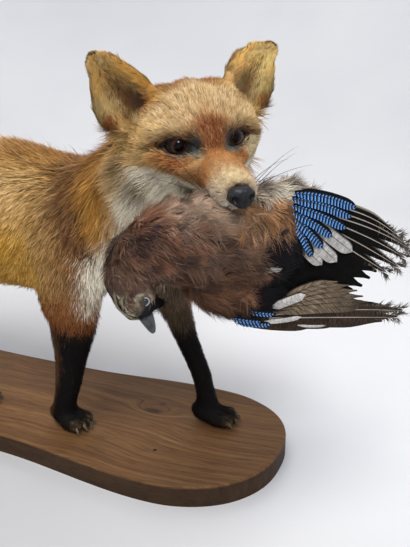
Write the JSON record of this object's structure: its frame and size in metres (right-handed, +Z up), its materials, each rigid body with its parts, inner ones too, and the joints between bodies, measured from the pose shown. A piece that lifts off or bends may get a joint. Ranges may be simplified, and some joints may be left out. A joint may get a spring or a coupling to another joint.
{
  "type": "taxidermy red fox",
  "caption": "Mounted red fox, life size, walking with a jay held in its jaws, on a rounded oak board.",
  "frame": {"origin": "middle of the board's underside, in the plane it stands on", "axes": "+X the way the fox walks, along the board; +Y to the fox's left; +Z up"},
  "size_m": [1.0804, 0.3325, 0.4461],
  "materials": {
    "russet_fur": "soft fur",
    "forehead_fur": "soft fur",
    "pale_fur": "soft fur",
    "black_fur": "short fur",
    "claw_horn": "satin horn",
    "nose_skin": "semi-gloss skin",
    "eye_glass": "polished",
    "oak": "waxed oak",
    "jay_feathers": "soft feathers"
  },
  "bodies": {
    "root": {"base_board": "oak", "belly": "russet_fur", "chest": "russet_fur", "claw_fore_left_1": "claw_horn", "claw_fore_left_2": "claw_horn", "claw_fore_left_3": "claw_horn", "claw_fore_left_4": "claw_horn", "claw_fore_right_1": "claw_horn", "claw_fore_right_2": "claw_horn", "claw_fore_right_3": "claw_horn", "claw_fore_right_4": "claw_horn", "claw_hind_left_1": "claw_horn", "claw_hind_left_2": "claw_horn", "claw_hind_left_3": "claw_horn", "claw_hind_left_4": "claw_horn", "claw_hind_right_1": "claw_horn", "claw_hind_right_2": "claw_horn", "claw_hind_right_3": "claw_horn", "claw_hind_right_4": "claw_horn", "ear_left": "russet_fur", "ear_right": "russet_fur", "eye_left": "eye_glass", "eye_right": "eye_glass", "fore_paw_left": "black_fur", "fore_paw_right": "black_fur", "foreleg_left": "black_fur", "foreleg_right": "black_fur", "head": "forehead_fur", "hind_paw_left": "black_fur", "hind_paw_right": "black_fur", "hock_left": "black_fur", "hock_right": "black_fur", "jay": "jay_feathers", "lower_jaw": "pale_fur", "muzzle": "pale_fur", "neck": "russet_fur", "nose": "nose_skin", "rump": "russet_fur", "shank_left": "russet_fur", "shank_right": "russet_fur", "shoulder_left": "russet_fur", "shoulder_right": "russet_fur", "tail_base": "russet_fur", "tail_middle": "russet_fur", "tail_tip": "pale_fur", "thigh_left": "russet_fur", "thigh_right": "russet_fur"}
  },
  "joints": []
}
